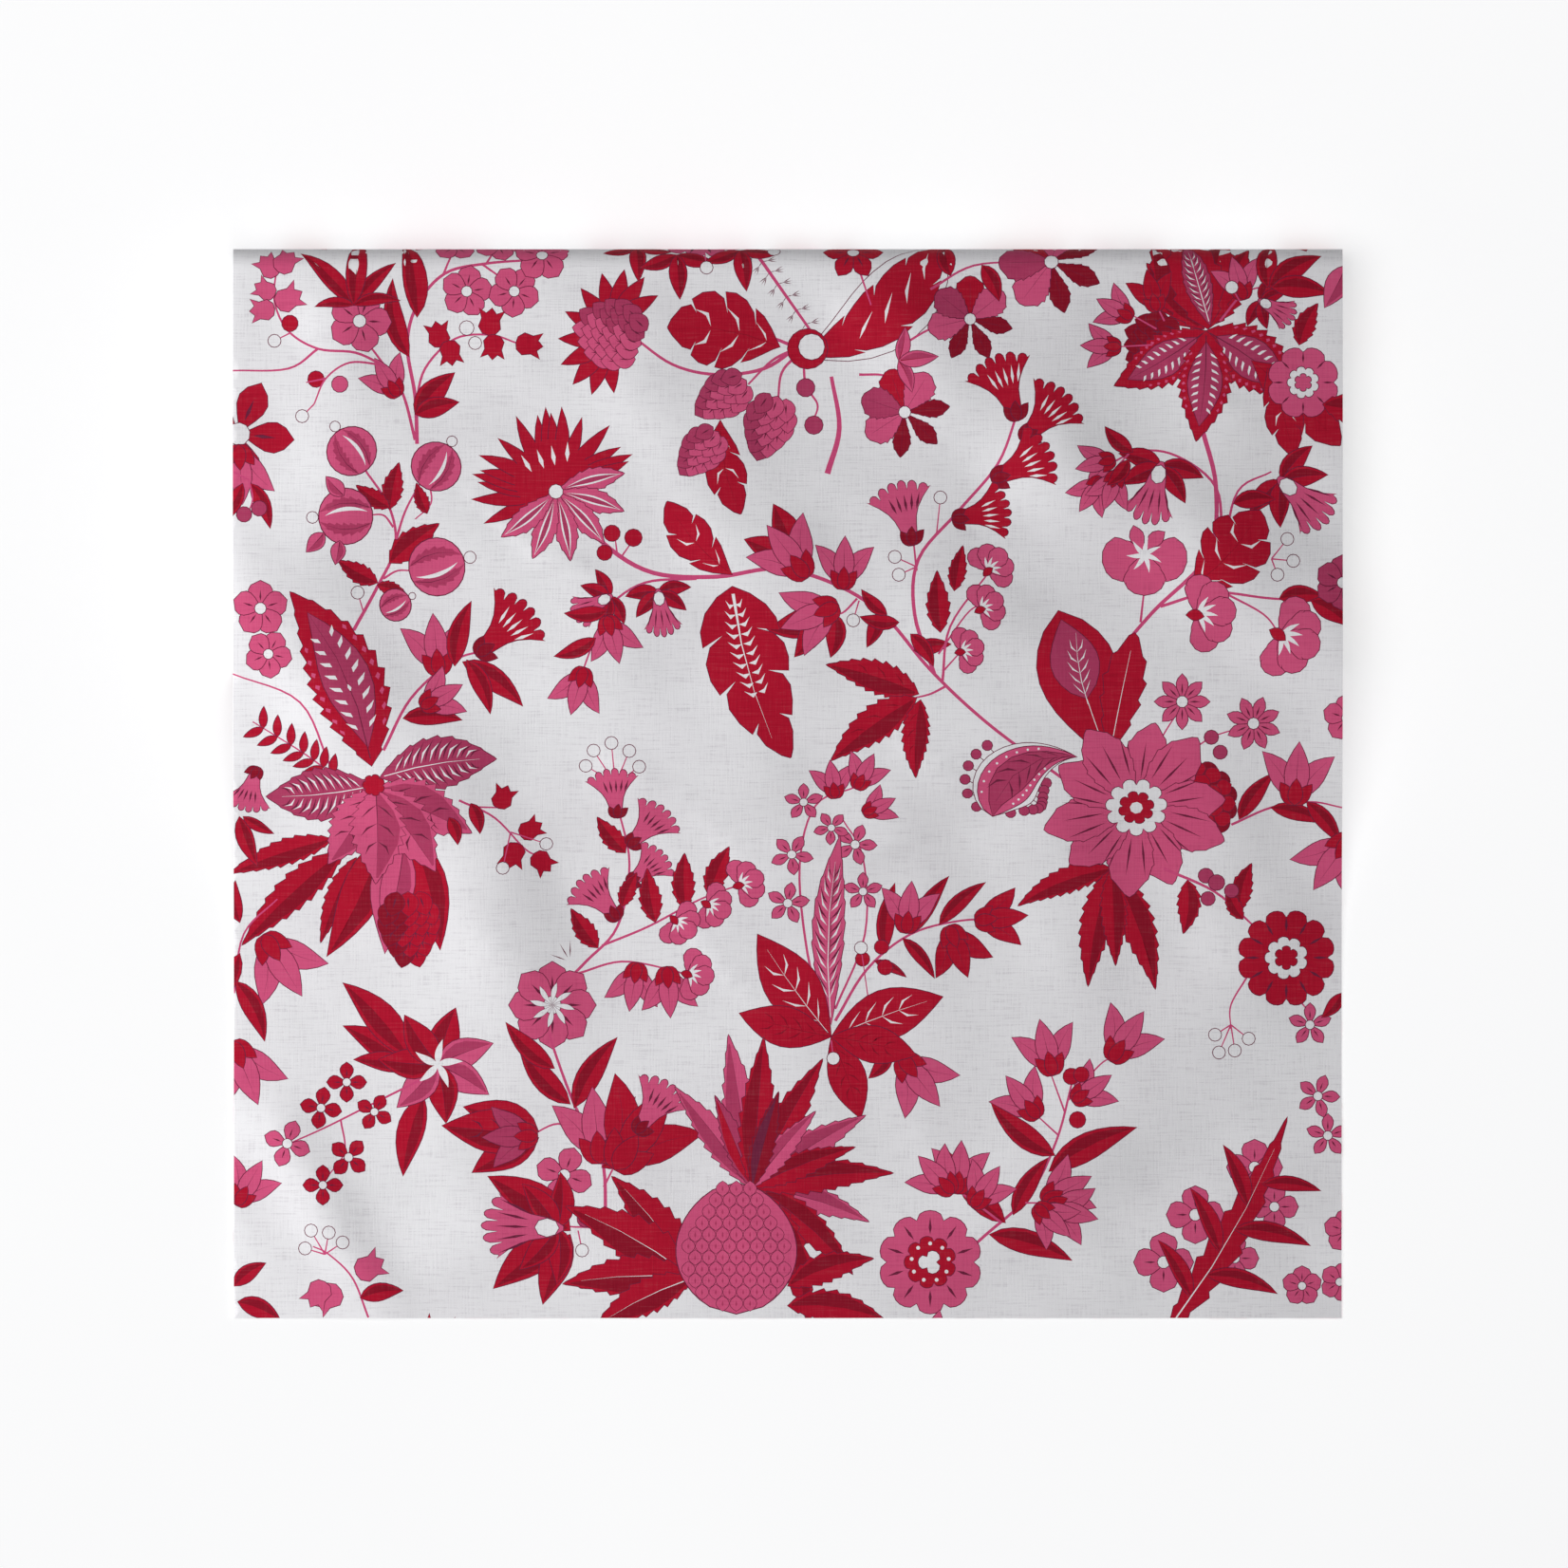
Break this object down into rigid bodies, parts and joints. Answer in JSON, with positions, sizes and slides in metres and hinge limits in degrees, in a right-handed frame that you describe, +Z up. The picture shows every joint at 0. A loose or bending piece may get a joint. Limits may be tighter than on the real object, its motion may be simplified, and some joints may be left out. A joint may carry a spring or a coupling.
{
  "type": "fabric bolt",
  "caption": "Part-used bolt of printed quilting cotton: cloth folded double and wound on a flat cardboard board, its loose end laid out flat.",
  "frame": {"origin": "on the table, under the middle of the bolt and its laid-out loose end together", "axes": "+X along the board, towards the labelled end; +Y from the cut end of the cloth to the far side of the bolt; +Z up"},
  "size_m": [0.56, 0.54, 0.0341],
  "materials": {
    "printed_cotton": "plain weave, matt, printed in crimson and pink",
    "card": "kraft cardboard, matt",
    "fluting": "kraft cardboard, matt",
    "paper_tape": "creped paper, satin",
    "label_paper": "coated paper, satin",
    "pin_steel": "polished steel wire",
    "pin_bead": "glossy"
  },
  "bodies": {
    "bolt": {"board_shell": "card", "board_stiffener": "fluting", "start_tape": "paper_tape", "wound_cloth": "printed_cotton", "loose_end": "printed_cotton"},
    "left_flap": {"left_end_flap": "card"},
    "right_flap": {"right_end_flap": "card", "end_label": "label_paper"},
    "cloth_end": {"turned_end": "printed_cotton"},
    "pin_1": {"pin_1_shaft": "pin_steel", "pin_1_head": "pin_bead"},
    "pin_2": {"pin_2_shaft": "pin_steel", "pin_2_head": "pin_bead"}
  },
  "joints": [
    {"name": "left_flap_crease", "type": "hinge", "parent": "bolt", "child": "left_flap", "pos_m": [-0.2778, 0.16025, 0.00975], "axis": [0, -1, 0], "range_deg": [0, 90]},
    {"name": "right_flap_crease", "type": "hinge", "parent": "bolt", "child": "right_flap", "pos_m": [0.2778, 0.16025, 0.00975], "axis": [0, 1, 0], "range_deg": [0, 90]},
    {"name": "cloth_turn_back", "type": "hinge", "parent": "bolt", "child": "cloth_end", "pos_m": [0, -0.13, 0.0009], "axis": [-1, 0, 0], "range_deg": [0, 160]},
    {"name": "pin_1_slide", "type": "slide", "parent": "bolt", "child": "pin_1", "axis": [0, -1, 0], "range_m": [0, 0.024]},
    {"name": "pin_2_slide", "type": "slide", "parent": "bolt", "child": "pin_2", "axis": [0, -1, 0], "range_m": [0, 0.024]}
  ]
}
